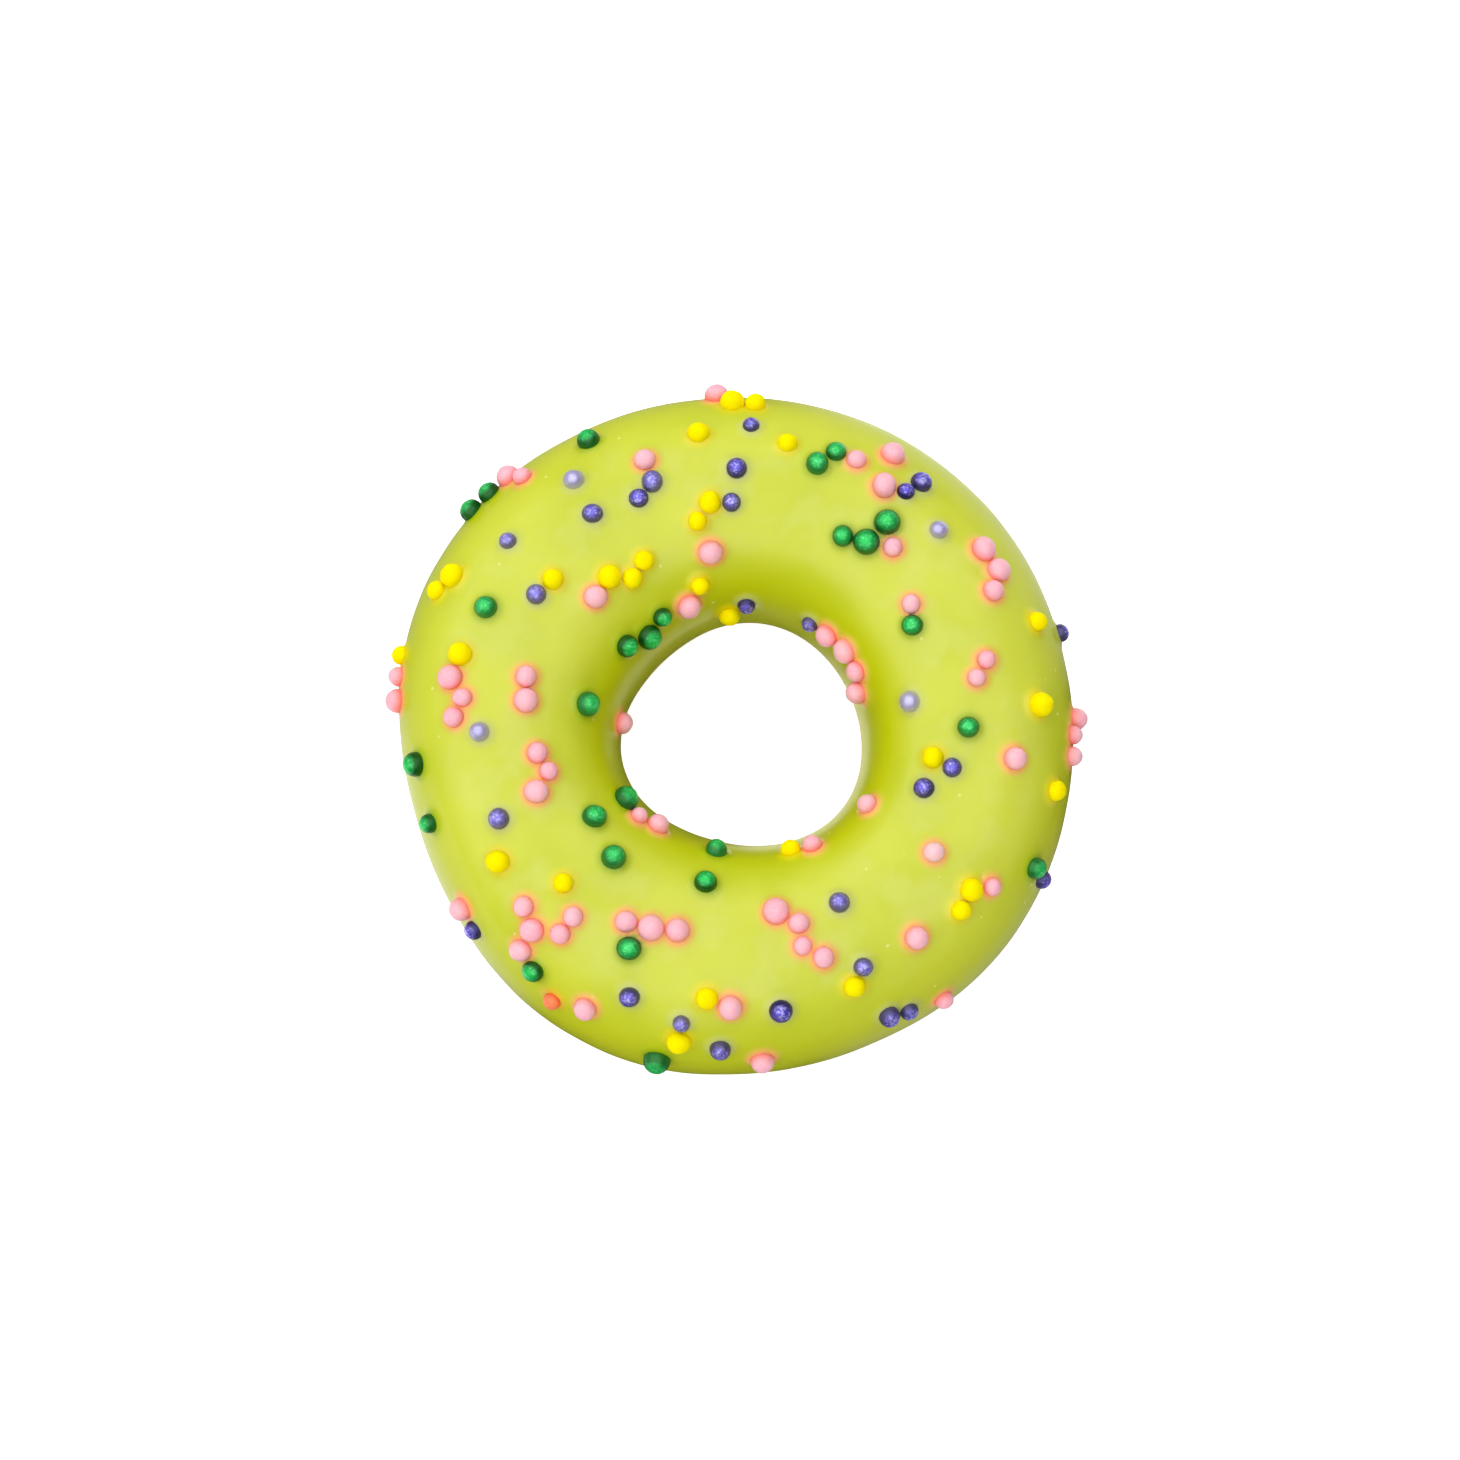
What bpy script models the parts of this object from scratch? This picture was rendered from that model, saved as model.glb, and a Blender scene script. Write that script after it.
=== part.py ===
# Mini doughnut: a ring of fried dough under a lime glaze that is strewn with sugar pearls.
# Metres, +Z up. It lies on the flat of its underside, and +Y is its far side in the photograph.

import math
import random

import bmesh
import bpy
from mathutils import Matrix, Vector

MM = 0.001

# The glazed ring seen from above: its two round outlines and the low lobes that make them uneven.
# A lobe is (how many go round, height, bearing of one crest in degrees).
OUTER_RADIUS = 30.0 * MM
OUTER_LOBES = [
    (1, 0.20 * MM, 110),
    (2, 0.30 * MM, -70),
    (3, 0.20 * MM, 20),
    (4, 0.28 * MM, -30),
    (5, 0.10 * MM, 25),
]
HOLE_RADIUS = 10.3 * MM
HOLE_LOBES = [(1, 0.70 * MM, -22), (2, 0.25 * MM, 0), (3, 0.40 * MM, -43)]
RING_CENTRE = Vector((0.06, -0.10, 0.0)) * MM  # pearls that stand out at the rim move the middle

# The ring seen in section: the height of its widest level, and how far it goes up and down
WIDEST_LEVEL = 8.7 * MM
TOP_RISE = 9.7 * MM
TOP_LOBES = [(2, 0.25 * MM, 35), (3, 0.15 * MM, 160), (5, 0.08 * MM, 80)]
BOTTOM_DEPTH = 9.0 * MM
FULLNESS = 2.2  # 2 is an ellipse, and more is squarer

# The glaze ends in a wavy hem under the widest level, outside and down in the hole
GLAZE = 1.2 * MM
AIR_GAP = 0.35 * MM
HEM_LEAN = -16.0
HEM_LOBES = [(3, 2.0, 10), (7, 1.6, 40), (11, 1.2, 75)]
HEM_NOSE = 2.5

# Sugar pearls, sunk a little into the glaze: P pink, V violet, G green, Y yellow, O orange.
# A small letter is a paler pearl of that colour.
PEARLS = {"P": 1.92 * MM, "V": 1.76 * MM, "G": 2.04 * MM, "Y": 1.94 * MM, "O": 1.88 * MM}
PEARL_SPREAD = 0.16
PEARL_SUNK = 0.33
PEARL_COUNTS = {"P": 59, "p": 1, "V": 26, "v": 4, "G": 26, "Y": 28, "O": 1}
PEARL_SIDES, PEARL_RINGS = 6, 4

# How they fell: some in short strings, given as (pearls, strings), and the rest alone, evenly
# over the top but for one barer side
STRINGS = [(5, 1), (4, 7), (3, 12), (2, 16)]
SAME_COLOUR = 0.3  # how often a string goes on in the colour it has
SWING = 30.0  # degrees that its steps turn off its way, to one side and then to the other
TURNS = (0, 60, -60, 110, -110, 160)  # degrees more, where the way is barred
FALL_LEANS = (15.0, 165.0)  # from near the rim to near the hole
BARE_BEARING = 45.0
BARENESS = 0.55
TRIES = 4  # places drawn each time, of which the roomiest is taken
TOUCHING = 0.06 * MM
ALONE = 0.9 * MM
SEED = 7

# Faces of the two solids
BEARINGS = 48
GLAZE_LEANS = 16
DOUGH_LEANS = 18


def lobed(size, lobes, bearing):
    return size + sum(high * math.cos(count * (bearing - math.radians(crest))) for count, high, crest in lobes)


def rounded(part):
    return math.copysign(abs(part) ** (2 / FULLNESS), part)


def ring_section(bearing):
    outer = lobed(OUTER_RADIUS, OUTER_LOBES, bearing)
    hole = lobed(HOLE_RADIUS, HOLE_LOBES, bearing)
    return (outer + hole) / 2, (outer - hole) / 2


# A point of the glazed surface, or of the surface that lies inset below it
def ring_point(bearing, lean, inset=0.0):
    middle, half = ring_section(bearing)
    above = math.sin(lean) > 0
    rise = (lobed(TOP_RISE, TOP_LOBES, bearing) if above else BOTTOM_DEPTH) - inset
    reach = middle + (half - inset) * rounded(math.cos(lean))
    level = WIDEST_LEVEL + rise * rounded(math.sin(lean))
    return RING_CENTRE + Vector((reach * math.cos(bearing), reach * math.sin(bearing), level))


def ring_slopes(bearing, lean):
    step = 0.002
    along = (ring_point(bearing + step, lean) - ring_point(bearing - step, lean)) / (2 * step)
    over = (ring_point(bearing, lean + step) - ring_point(bearing, lean - step)) / (2 * step)
    return along, over


# A closed tube of quads, from rows of points that each go once round the ring
def add_ring(name, rows, collection, material):
    mesh = bpy.data.meshes.new(name)
    count = len(rows[0])
    faces = []
    for row in range(len(rows)):
        below = (row + 1) % len(rows)
        for i in range(count):
            j = (i + 1) % count
            faces.append((row * count + i, row * count + j, below * count + j, below * count + i))
    mesh.from_pydata([point for row in rows for point in row], [], faces)
    mesh.update()
    mesh.materials.append(material)
    ring = bpy.data.objects.new(name, mesh)
    collection.objects.link(ring)
    return ring


def add_material(name, colour, roughness):
    material = bpy.data.materials.new(name)
    material.use_nodes = True
    surface = material.node_tree.nodes["Principled BSDF"]
    surface.inputs["Base Color"].default_value = (*colour, 1.0)
    surface.inputs["Roughness"].default_value = roughness
    surface.inputs["Metallic"].default_value = 0.0
    return material


# The glaze goes over the top from hem to hem, then back underneath at its own thickness
def glaze_rows():
    bearings = [math.tau * i / BEARINGS for i in range(BEARINGS)]

    def row(share, inset, past=0.0):
        points = []
        for bearing in bearings:
            outside = lobed(HEM_LEAN, HEM_LOBES, bearing) - past
            inside = 180 - lobed(HEM_LEAN, HEM_LOBES, bearing + 0.5) + past
            points.append(ring_point(bearing, math.radians(outside + (inside - outside) * share), inset))
        return points

    shares = [i / GLAZE_LEANS for i in range(GLAZE_LEANS + 1)]
    top = [row(share, 0.0) for share in shares]
    underneath = [row(share, GLAZE) for share in reversed(shares)]
    return [row(0.0, GLAZE / 2, HEM_NOSE), *top, row(1.0, GLAZE / 2, HEM_NOSE), *underneath]


# The dough follows the same ring below the glaze, and its underside is cut flat
def dough_rows():
    inset = GLAZE + AIR_GAP
    depth = BOTTOM_DEPTH - inset
    flat_lean = -math.asin((WIDEST_LEVEL / BOTTOM_DEPTH) ** (FULLNESS / 2))
    rows = []
    for i in range(DOUGH_LEANS + 1):
        lean = flat_lean + (math.pi - 2 * flat_lean) * i / DOUGH_LEANS
        row = []
        for j in range(BEARINGS):
            point = ring_point(math.tau * j / BEARINGS, lean, inset)
            if point.z < WIDEST_LEVEL:
                point.z = WIDEST_LEVEL - (WIDEST_LEVEL - point.z) * BOTTOM_DEPTH / depth
            row.append(point)
        rows.append(row)
    return rows


# Each pearl is (centre, outward normal, radius, colour)
def strewn_pearls():
    draw = random.Random(SEED)
    colours = [colour for colour, count in PEARL_COUNTS.items() for _ in range(count)]
    draw.shuffle(colours)
    lengths = [length for length, count in STRINGS for _ in range(count)]
    lengths += [1] * (len(colours) - sum(lengths))
    first_lean, last_lean = (math.radians(lean) for lean in FALL_LEANS)
    pearls = []

    def pearl_at(place, radius, colour):
        along, over = ring_slopes(*place)
        outward = along.cross(over).normalized()
        lift = radius * (1 - 2 * PEARL_SUNK)
        return ring_point(*place) + outward * lift, outward, radius, colour

    def room_round(pearl):
        gaps = [(pearl[0] - other[0]).length - pearl[2] - other[2] for other in pearls]
        return min(gaps, default=math.inf)

    def drawn_radius(colour):
        return PEARLS[colour.upper()] / 2 * (1 + PEARL_SPREAD * draw.uniform(-1, 1))

    def drawn_place():
        bearing = draw.uniform(0, math.tau)
        facing = max(0.0, math.cos(bearing - math.radians(BARE_BEARING)))
        if draw.random() < BARENESS * facing**2:
            return drawn_place()
        middle, half = ring_section(bearing)
        nearest, farthest = (middle + half * rounded(math.cos(lean)) for lean in (last_lean, first_lean))
        side = (math.sqrt(draw.uniform(nearest**2, farthest**2)) - middle) / half
        return bearing, math.acos(math.copysign(abs(side) ** (FULLNESS / 2), side))

    for length in lengths:
        colour = colours.pop()
        radius = drawn_radius(colour)
        pearl = None
        while pearl is None or room_round(pearl) < ALONE:
            places = [drawn_place() for _ in range(TRIES)]
            place = max(places, key=lambda spot: room_round(pearl_at(spot, radius, colour)))
            pearl = pearl_at(place, radius, colour)
        pearls.append(pearl)
        heading, swing = draw.uniform(0, 360), SWING * draw.choice((-1, 1))
        for _ in range(length - 1):
            if colour not in colours or draw.random() > SAME_COLOUR:
                colour = colours[-1]
            colours.remove(colour)
            radius = drawn_radius(colour)
            stride = pearls[-1][2] + radius + 2 * TOUCHING
            along, over = ring_slopes(*place)
            for turn in TURNS:
                way = math.radians(heading + swing + turn)
                step = Vector((math.cos(way), math.sin(way), 0.0))
                step = (step - step.project(along.cross(over))).normalized() * stride
                moved = (
                    place[0] + step.dot(along) / along.length_squared,
                    place[1] + step.dot(over) / over.length_squared,
                )
                pearl = pearl_at(moved, radius, colour)
                if first_lean < moved[1] < last_lean and room_round(pearl) > TOUCHING:
                    break
            else:
                colours.insert(0, colour)
                break
            pearls.append(pearl)
            place, swing = moved, -swing

    while colours:
        colour = colours.pop()
        pearl = pearl_at(drawn_place(), drawn_radius(colour), colour)
        if room_round(pearl) > ALONE:
            pearls.append(pearl)
        else:
            colours.append(colour)
    return pearls


def add_pearl(pearl, collection):
    centre, outward, radius, colour = pearl
    shape = bmesh.new()
    # A little over size, so that the flat sides hold as much as the ball does
    bmesh.ops.create_uvsphere(shape, u_segments=PEARL_SIDES, v_segments=PEARL_RINGS, radius=radius * 1.06)
    turned = outward.to_track_quat("Z", "Y").to_matrix().to_4x4()
    bmesh.ops.transform(shape, matrix=Matrix.Translation(centre) @ turned, verts=shape.verts)
    mesh = bpy.data.meshes.new("pearl")
    shape.to_mesh(mesh)
    shape.free()
    collection.objects.link(bpy.data.objects.new("pearl", mesh))


def fuse(ring, collection):
    union = ring.modifiers.new("pearls", "BOOLEAN")
    union.operation = "UNION"
    union.solver = "EXACT"
    union.operand_type = "COLLECTION"
    union.collection = collection
    bpy.context.view_layer.objects.active = ring
    bpy.ops.object.modifier_apply(modifier=union.name)
    for pearl in list(collection.objects):
        mesh = pearl.data
        bpy.data.objects.remove(pearl)
        bpy.data.meshes.remove(mesh)
    bpy.data.collections.remove(collection)


def main():
    for thing in list(bpy.data.objects):
        bpy.data.objects.remove(thing)

    doughnut = bpy.data.collections.new("mini_doughnut")
    loose_pearls = bpy.data.collections.new("loose_pearls")
    bpy.context.scene.collection.children.link(doughnut)
    bpy.context.scene.collection.children.link(loose_pearls)
    loose_pearls.hide_render = True

    crust = add_material("fried_crust", (0.47, 0.22, 0.07), 0.75)
    lime = add_material("lime_glaze", (0.62, 0.71, 0.06), 0.28)

    add_ring("dough", dough_rows(), doughnut, crust)
    icing = add_ring("icing", glaze_rows(), doughnut, lime)
    for pearl in strewn_pearls():
        add_pearl(pearl, loose_pearls)
    fuse(icing, loose_pearls)


main()
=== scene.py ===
# A mini doughnut in lime glaze, strewn with sugar pearls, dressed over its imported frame.
# Lengths are in metres, +Z is up and +Y is the doughnut's far side.
import math
import random

import bpy
import numpy as np
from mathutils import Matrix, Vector, noise


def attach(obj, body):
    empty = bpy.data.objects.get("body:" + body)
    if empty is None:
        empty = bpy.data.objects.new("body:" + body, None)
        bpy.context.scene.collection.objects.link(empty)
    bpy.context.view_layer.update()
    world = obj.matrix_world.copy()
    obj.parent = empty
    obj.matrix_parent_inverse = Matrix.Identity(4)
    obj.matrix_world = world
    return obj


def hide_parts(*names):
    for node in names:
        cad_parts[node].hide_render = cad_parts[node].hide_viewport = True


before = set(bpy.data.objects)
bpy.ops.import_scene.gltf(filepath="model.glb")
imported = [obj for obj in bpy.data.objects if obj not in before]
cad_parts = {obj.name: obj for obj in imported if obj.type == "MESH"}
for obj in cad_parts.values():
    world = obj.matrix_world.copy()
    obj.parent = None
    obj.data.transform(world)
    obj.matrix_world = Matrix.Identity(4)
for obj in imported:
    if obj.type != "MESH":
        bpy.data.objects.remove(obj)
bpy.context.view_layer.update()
mm = 0.001
print("frame loaded, nodes:", ", ".join(sorted(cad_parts)))

# The ring that dough, glaze and pearls all follow. A lobe of its outline is
# (how many go round, height, bearing of one crest in degrees).
ring = {
    "outerRadius": 30.0 * mm,
    "outerLobes": [
        (1, 0.20 * mm, 110),
        (2, 0.30 * mm, -70),
        (3, 0.20 * mm, 20),
        (4, 0.28 * mm, -30),
        (5, 0.10 * mm, 25),
    ],
    "holeRadius": 10.3 * mm,
    "holeLobes": [(1, 0.70 * mm, -22), (2, 0.25 * mm, 0), (3, 0.40 * mm, -43)],
    "centre": Vector((0.06, -0.10, 0.0)) * mm,
    "widestLevel": 8.7 * mm,
    "topRise": 9.7 * mm,
    "topLobes": [(2, 0.25 * mm, 35), (3, 0.15 * mm, 160), (5, 0.08 * mm, 80)],
    "bottomDepth": 9.0 * mm,
    "fullness": 2.2,  # 2 is an ellipse, and more is squarer
}


def lobed(size, lobes, bearing, cosine=math.cos):
    return size + sum(
        high * cosine(count * (bearing - math.radians(crest))) for count, high, crest in lobes
    )


def rounded(part):
    return math.copysign(abs(part) ** (2 / ring["fullness"]), part)


def ringSection(bearing):
    outer = lobed(ring["outerRadius"], ring["outerLobes"], bearing)
    hole = lobed(ring["holeRadius"], ring["holeLobes"], bearing)
    return (outer + hole) / 2, (outer - hole) / 2


# One point of the glazed surface. A lean of 0 is outwards, 90 degrees the crest, 180 the hole.
def ringPoint(bearing, lean):
    middle, half = ringSection(bearing)
    above = math.sin(lean) > 0
    rise = lobed(ring["topRise"], ring["topLobes"], bearing) if above else ring["bottomDepth"]
    reach = middle + half * rounded(math.cos(lean))
    level = ring["widestLevel"] + rise * rounded(math.sin(lean))
    return ring["centre"] + Vector((reach * math.cos(bearing), reach * math.sin(bearing), level))


def ringSlopes(bearing, lean):
    step = 0.002
    along = (ringPoint(bearing + step, lean) - ringPoint(bearing - step, lean)) / (2 * step)
    over = (ringPoint(bearing, lean + step) - ringPoint(bearing, lean - step)) / (2 * step)
    return along, over


# The same surface, or one that lies inset below it, for whole arrays of bearings and leans
def ringGrid(bearings, leans, inset):
    outer = lobed(ring["outerRadius"], ring["outerLobes"], bearings, np.cos)
    hole = lobed(ring["holeRadius"], ring["holeLobes"], bearings, np.cos)
    crest = lobed(ring["topRise"], ring["topLobes"], bearings, np.cos)
    power = 2 / ring["fullness"]
    across = np.copysign(np.abs(np.cos(leans)) ** power, np.cos(leans))
    up = np.copysign(np.abs(np.sin(leans)) ** power, np.sin(leans))
    reach = (outer + hole) / 2 + ((outer - hole) / 2 - inset) * across
    level = ring["widestLevel"] + (np.where(up > 0, crest, ring["bottomDepth"]) - inset) * up
    flat = np.stack([reach * np.cos(bearings), reach * np.sin(bearings), level], axis=-1)
    return flat + np.array(ring["centre"])


# Rows cross the section and columns go round the ring, and both close on themselves
def gridNormals(points):
    along = np.roll(points, -1, axis=1) - np.roll(points, 1, axis=1)
    over = np.roll(points, -1, axis=0) - np.roll(points, 1, axis=0)
    normals = np.cross(along, over)
    return normals / np.linalg.norm(normals, axis=-1, keepdims=True)


def reliefOf(points, size, depth, turn):
    start = Vector((turn, 2.7 * turn, -1.3 * turn))
    heights = [noise.noise(Vector(point) / size + start) for point in points.reshape(-1, 3)]
    return depth * np.array(heights).reshape(points.shape[:2])


def addRingPiece(name, points, material):
    rows, columns = points.shape[:2]
    index = np.arange(rows * columns).reshape(rows, columns)
    below = np.roll(index, -1, axis=0)
    quads = np.stack([index, np.roll(index, -1, axis=1), np.roll(below, -1, axis=1), below], axis=-1)
    mesh = bpy.data.meshes.new(name)
    mesh.from_pydata(points.reshape(-1, 3).tolist(), [], quads.reshape(-1, 4).tolist())
    mesh.materials.append(material)
    mesh.shade_smooth()
    piece = bpy.data.objects.new(name, mesh)
    bpy.context.scene.collection.objects.link(piece)
    return piece


def storeValues(piece, name, kind, values):
    attribute = piece.data.attributes.new(name, kind, "POINT")
    attribute.data.foreach_set("color" if kind == "FLOAT_COLOR" else "value", values.reshape(-1))


def linear(red, green, blue):
    steps = [part / 255 for part in (red, green, blue)]
    return tuple(s / 12.92 if s <= 0.04045 else ((s + 0.055) / 1.055) ** 2.4 for s in steps)


# Sugar pearls, sunk a little into the glaze. Small letters are paler ones of their colour.
pearls = {
    "sizes": {"P": 1.92 * mm, "V": 1.76 * mm, "G": 2.04 * mm, "Y": 1.94 * mm, "O": 1.88 * mm},
    "spread": 0.16,
    "sunk": 0.33,
    "counts": {"P": 59, "p": 1, "V": 26, "v": 4, "G": 26, "Y": 28, "O": 1},
    # How they fell: some in short strings, given as (pearls, strings), and the rest alone,
    # evenly over the top but for one barer side
    "strings": [(5, 1), (4, 7), (3, 12), (2, 16)],
    "sameColour": 0.3,  # how often a string goes on in the colour it has
    "swing": 30.0,  # degrees that its steps turn off its way, to one side and then to the other
    "turns": (0, 60, -60, 110, -110, 160),  # degrees more, where the way is barred
    "fallLeans": (15.0, 165.0),  # from near the rim to near the hole
    "bareBearing": 45.0,
    "bareness": 0.55,
    "tries": 4,  # places drawn each time, of which the roomiest is taken
    "touching": 0.06 * mm,
    "alone": 0.9 * mm,
    "seed": 7,
    "sides": 18,
    "rings": 11,
    "outOfRound": 0.07,
    "lumpSize": 0.8 * mm,
    "fleckSize": 0.17 * mm,
    "fleckShare": 0.45,
    "palenessOfPale": (0.75, 1.0),
    "palenessOfOthers": (0.0, 0.3),
}


# Each pearl is (centre, outward normal, radius, colour)
def strewnPearls():
    draw = random.Random(pearls["seed"])
    colours = [colour for colour, count in pearls["counts"].items() for _ in range(count)]
    draw.shuffle(colours)
    lengths = [length for length, count in pearls["strings"] for _ in range(count)]
    lengths += [1] * (len(colours) - sum(lengths))
    firstLean, lastLean = (math.radians(lean) for lean in pearls["fallLeans"])
    laid = []

    def pearlAt(place, radius, colour):
        along, over = ringSlopes(*place)
        outward = along.cross(over).normalized()
        lift = radius * (1 - 2 * pearls["sunk"])
        return ringPoint(*place) + outward * lift, outward, radius, colour

    def roomRound(pearl):
        gaps = [(pearl[0] - other[0]).length - pearl[2] - other[2] for other in laid]
        return min(gaps, default=math.inf)

    def drawnRadius(colour):
        return pearls["sizes"][colour.upper()] / 2 * (1 + pearls["spread"] * draw.uniform(-1, 1))

    def drawnPlace():
        bearing = draw.uniform(0, math.tau)
        facing = max(0.0, math.cos(bearing - math.radians(pearls["bareBearing"])))
        if draw.random() < pearls["bareness"] * facing**2:
            return drawnPlace()
        middle, half = ringSection(bearing)
        nearest = middle + half * rounded(math.cos(lastLean))
        farthest = middle + half * rounded(math.cos(firstLean))
        side = (math.sqrt(draw.uniform(nearest**2, farthest**2)) - middle) / half
        return bearing, math.acos(math.copysign(abs(side) ** (ring["fullness"] / 2), side))

    for length in lengths:
        colour = colours.pop()
        radius = drawnRadius(colour)
        pearl = None
        while pearl is None or roomRound(pearl) < pearls["alone"]:
            places = [drawnPlace() for _ in range(pearls["tries"])]
            place = max(places, key=lambda spot: roomRound(pearlAt(spot, radius, colour)))
            pearl = pearlAt(place, radius, colour)
        laid.append(pearl)
        heading, swing = draw.uniform(0, 360), pearls["swing"] * draw.choice((-1, 1))
        for _ in range(length - 1):
            if colour not in colours or draw.random() > pearls["sameColour"]:
                colour = colours[-1]
            colours.remove(colour)
            radius = drawnRadius(colour)
            stride = laid[-1][2] + radius + 2 * pearls["touching"]
            along, over = ringSlopes(*place)
            for turn in pearls["turns"]:
                way = math.radians(heading + swing + turn)
                step = Vector((math.cos(way), math.sin(way), 0.0))
                step = (step - step.project(along.cross(over))).normalized() * stride
                moved = (
                    place[0] + step.dot(along) / along.length_squared,
                    place[1] + step.dot(over) / over.length_squared,
                )
                pearl = pearlAt(moved, radius, colour)
                if firstLean < moved[1] < lastLean and roomRound(pearl) > pearls["touching"]:
                    break
            else:
                colours.insert(0, colour)
                break
            laid.append(pearl)
            place, swing = moved, -swing

    while colours:
        colour = colours.pop()
        pearl = pearlAt(drawnPlace(), drawnRadius(colour), colour)
        if roomRound(pearl) > pearls["alone"]:
            laid.append(pearl)
        else:
            colours.append(colour)
    return laid


laidPearls = strewnPearls()
print("pearls laid:", len(laidPearls))

# Colours and finishes of the pearls; their lighter top and darker side colours are painted shade. The
# glaze round a pearl takes a stain from it: dye round most, painted lighter round the pink ones against
# the shade where pearl meets glaze, and painted shade round the green ones.
pearlKinds = {
    # top and side are painted shade: lighter where a pearl faces away from the glaze, darker towards
    # its waist
    "P": {
        "name": "pinkPearls", "slot": "pearl_pink",
        "top": linear(255, 178, 194), "side": linear(255, 120, 104),
        "pale": linear(255, 206, 210), "fleck": linear(255, 214, 216),
        "fleckAmount": 0.3, "crown": (-0.1, 0.65),
        "metal": 0.0, "roughness": 0.45, "specular": 0.4, "sheen": 0.15, "glow": 0.35,
        "lumps": 0.08 * mm, "stainAndShade": linear(255, 170, 112), "stainAndShadeStrength": 0.9,
    },
    "V": {
        "name": "violetPearls", "slot": "pearl_violet",
        "top": linear(103, 88, 220), "side": linear(34, 26, 104),
        "pale": linear(206, 200, 236), "fleck": linear(210, 206, 252),
        "fleckAmount": 0.85, "crown": (0.4, 0.95),
        "metal": 0.55, "roughness": 0.42, "specular": 0.5, "sheen": 0.2, "glow": 0.0,
        "lumps": 0.07 * mm, "stainAndShade": linear(196, 198, 150), "stainAndShadeStrength": 0.5,
    },
    "G": {
        "name": "greenPearls", "slot": "pearl_green",
        "top": linear(22, 208, 92), "side": linear(0, 88, 8),
        "pale": linear(60, 190, 100), "fleck": linear(112, 240, 156),
        "fleckAmount": 0.7, "crown": (0.45, 0.97),
        "metal": 0.4, "roughness": 0.42, "specular": 0.5, "sheen": 0.2, "glow": 0.0,
        "lumps": 0.07 * mm, "stainAndShade": linear(112, 160, 4), "stainAndShadeStrength": 0.55,
    },
    "Y": {
        "name": "yellowPearls", "slot": "pearl_yellow",
        "top": linear(255, 232, 0), "side": linear(255, 222, 0),
        "pale": linear(255, 236, 0), "fleck": linear(255, 238, 10),
        "fleckAmount": 0.1, "crown": (0.0, 0.6),
        "metal": 0.0, "roughness": 0.9, "specular": 0.03, "sheen": 0.0, "glow": 0.7,
        "lumps": 0.2 * mm, "stainAndShade": linear(236, 212, 2), "stainAndShadeStrength": 0.75,
    },
    "O": {
        "name": "orangePearl", "slot": "pearl_orange",
        "top": linear(255, 128, 76), "side": linear(242, 92, 44),
        "pale": linear(255, 160, 110), "fleck": linear(255, 180, 130),
        "fleckAmount": 0.3, "crown": (-0.1, 0.65),
        "metal": 0.0, "roughness": 0.45, "specular": 0.4, "sheen": 0.15, "glow": 0.25,
        "lumps": 0.1 * mm, "stainAndShade": linear(246, 170, 60), "stainAndShadeStrength": 0.7,
    },
}


# The shader groups softPatches and pearlDust are shared by several materials
def newGroup(name, inputs, outputs):
    group = bpy.data.node_groups.new(name, "ShaderNodeTree")
    for label, value in inputs.items():
        socket = group.interface.new_socket(label, in_out="INPUT", socket_type="NodeSocketFloat")
        socket.default_value = value
    for label in outputs:
        group.interface.new_socket(label, in_out="OUTPUT", socket_type="NodeSocketFloat")
    return group, group.nodes.new("NodeGroupInput"), group.nodes.new("NodeGroupOutput")


def addNode(tree, kind, **settings):
    node = tree.nodes.new(kind)
    for name, value in settings.items():
        setattr(node, name, value)
    return node


# Object coordinates counted in patches of the given size
def countedPlace(tree, sizeSocket):
    place = addNode(tree, "ShaderNodeTexCoord")
    perLength = addNode(tree, "ShaderNodeMath", operation="DIVIDE")
    perLength.inputs[0].default_value = 1.0
    counted = addNode(tree, "ShaderNodeVectorMath", operation="SCALE")
    tree.links.new(sizeSocket, perLength.inputs[1])
    tree.links.new(place.outputs["Object"], counted.inputs[0])
    tree.links.new(perLength.outputs[0], counted.inputs["Scale"])
    return counted.outputs[0]


# Soft patches, as in glaze that set unevenly or in a crust that browned unevenly, and the glaze's
# patches of painted highlight
def buildSoftPatches():
    inputs = {"Patch Size": 6 * mm, "Detail": 2.0, "Low": 0.38, "High": 0.62}
    group, given, made = newGroup("softPatches", inputs, ["Mask"])
    cloud = addNode(group, "ShaderNodeTexNoise")
    cloud.inputs["Scale"].default_value = 1.0
    spread = addNode(group, "ShaderNodeMapRange", interpolation_type="SMOOTHSTEP")
    group.links.new(countedPlace(group, given.outputs["Patch Size"]), cloud.inputs["Vector"])
    group.links.new(given.outputs["Detail"], cloud.inputs["Detail"])
    group.links.new(cloud.outputs[0], spread.inputs["Value"])
    group.links.new(given.outputs["Low"], spread.inputs["From Min"])
    group.links.new(given.outputs["High"], spread.inputs["From Max"])
    group.links.new(spread.outputs[0], made.inputs["Mask"])
    return group


# Small cells of pearl dust, each by its own amount: a mask for paler flecks, painted as glints, and for
# their fine bump
def buildPearlDust():
    group, given, made = newGroup("pearlDust", {"Fleck Size": 0.2 * mm, "Share": 0.5}, ["Mask"])
    cells = addNode(group, "ShaderNodeTexVoronoi")
    cells.inputs["Scale"].default_value = 1.0
    split = addNode(group, "ShaderNodeSeparateColor")
    low = addNode(group, "ShaderNodeMath", operation="SUBTRACT")
    low.inputs[0].default_value = 1.0
    spread = addNode(group, "ShaderNodeMapRange")
    group.links.new(countedPlace(group, given.outputs["Fleck Size"]), cells.inputs["Vector"])
    group.links.new(cells.outputs["Color"], split.inputs[0])
    group.links.new(given.outputs["Share"], low.inputs[1])
    group.links.new(split.outputs[0], spread.inputs["Value"])
    group.links.new(low.outputs[0], spread.inputs["From Min"])
    group.links.new(spread.outputs[0], made.inputs["Mask"])
    return group


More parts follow.
